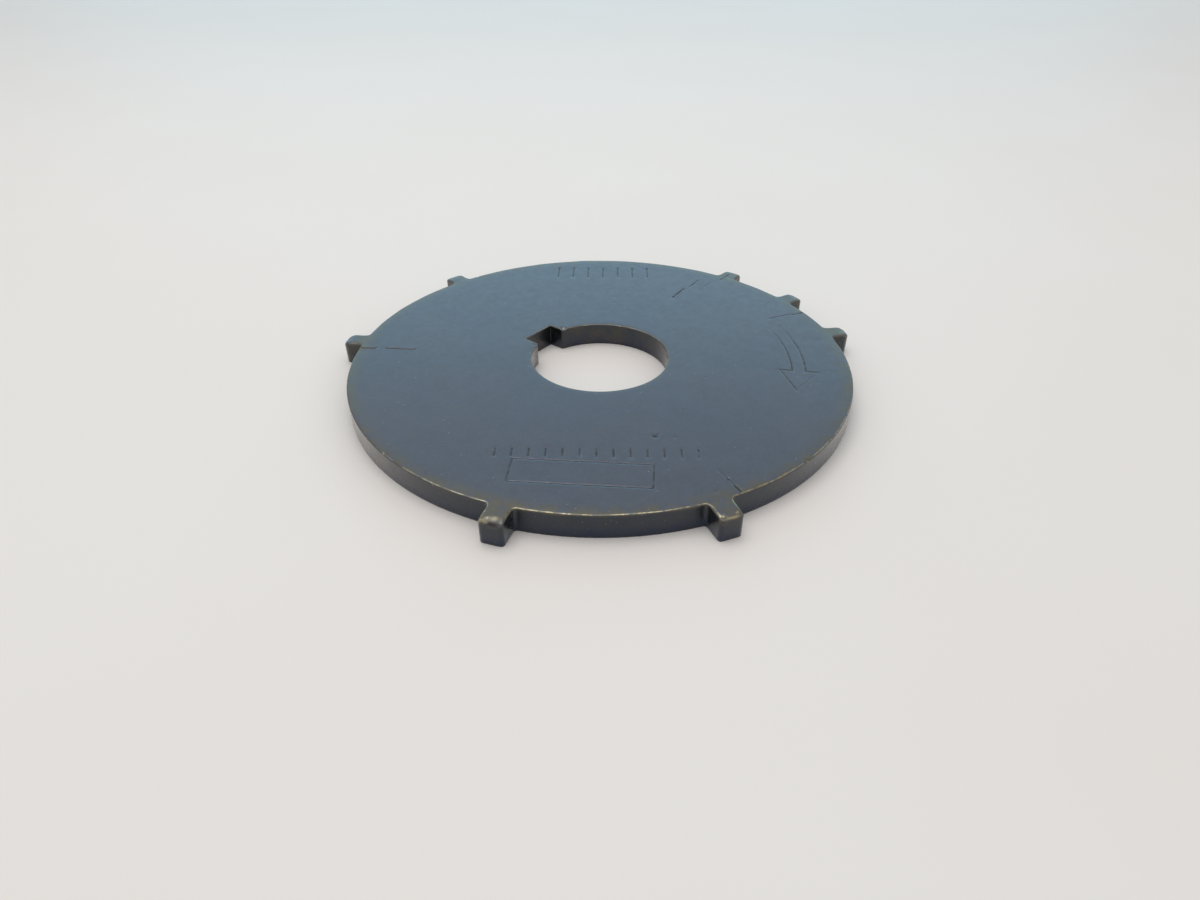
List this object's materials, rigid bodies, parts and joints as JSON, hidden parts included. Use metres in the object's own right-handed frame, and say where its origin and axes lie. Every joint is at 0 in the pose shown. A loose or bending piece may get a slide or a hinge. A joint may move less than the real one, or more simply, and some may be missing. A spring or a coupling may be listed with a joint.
{
  "type": "keyed index disc",
  "caption": "Flat steel index disc with a keyed round bore, short square lugs at uneven angles on its rim, a turning arrow and stamped timing lines.",
  "frame": {"origin": "centre of the bore at the underside of the plate", "axes": "+Z along the bore, from the underside to the stamped upper face; +Y from the bore's centre through the middle of the keyway; +X to the right of it, seen from above"},
  "size_m": [0.0846, 0.0829, 0.0038],
  "materials": {
    "blackened_steel": "black oxide, satin"
  },
  "bodies": {
    "root": {"disc": "blackened_steel"}
  },
  "joints": []
}
